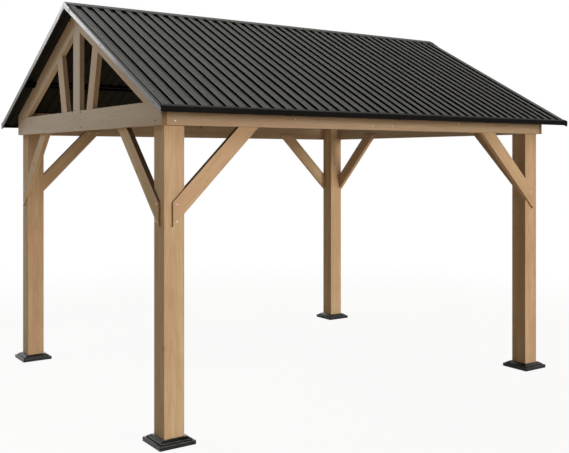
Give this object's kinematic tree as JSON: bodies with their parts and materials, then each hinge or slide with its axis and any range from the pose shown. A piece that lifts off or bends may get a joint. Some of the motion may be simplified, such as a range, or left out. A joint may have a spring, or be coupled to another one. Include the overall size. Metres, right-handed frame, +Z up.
{
  "type": "garden gazebo",
  "caption": "Open rectangular timber gazebo with braced square posts on black foot covers, open gable trusses and a pitched ribbed metal roof with ridge cap and edge trims.",
  "frame": {"origin": "on the ground, under the middle of the roof", "axes": "+X along the ridge, +Y across it, +Z up"},
  "size_m": [3.884, 3.362, 3.0439],
  "materials": {
    "timber": "planed softwood with a light tan stain",
    "roof_metal": "satin dark grey coating",
    "rake_metal": "satin light grey coating",
    "black_metal": "satin black coating",
    "foot_cover": "satin black coating"
  },
  "bodies": {
    "root": {"back_beam": "timber", "back_brace_left": "timber", "back_brace_right": "timber", "back_eave_trim": "black_metal", "back_left_foot_cover": "foot_cover", "back_left_post": "timber", "back_purlin": "black_metal", "back_right_foot_cover": "foot_cover", "back_right_post": "timber", "back_roof_sheet_1": "roof_metal", "back_roof_sheet_2": "roof_metal", "back_roof_sheet_3": "roof_metal", "back_roof_sheet_4": "roof_metal", "eave_end_caps": "black_metal", "front_beam": "timber", "front_brace_left": "timber", "front_brace_right": "timber", "front_eave_trim": "black_metal", "front_left_foot_cover": "foot_cover", "front_left_post": "timber", "front_purlin": "black_metal", "front_right_foot_cover": "foot_cover", "front_right_post": "timber", "front_roof_sheet_1": "roof_metal", "front_roof_sheet_2": "roof_metal", "front_roof_sheet_3": "roof_metal", "front_roof_sheet_4": "roof_metal", "left_brace_back": "timber", "left_brace_front": "timber", "left_king_post": "timber", "left_rafter_back": "timber", "left_rafter_front": "timber", "left_rake_trims": "rake_metal", "left_struts": "timber", "left_tie": "timber", "ridge_beam": "timber", "ridge_cap": "roof_metal", "right_brace_back": "timber", "right_brace_front": "timber", "right_king_post": "timber", "right_rafter_back": "timber", "right_rafter_front": "timber", "right_rake_trims": "rake_metal", "right_struts": "timber", "right_tie": "timber"}
  },
  "joints": []
}
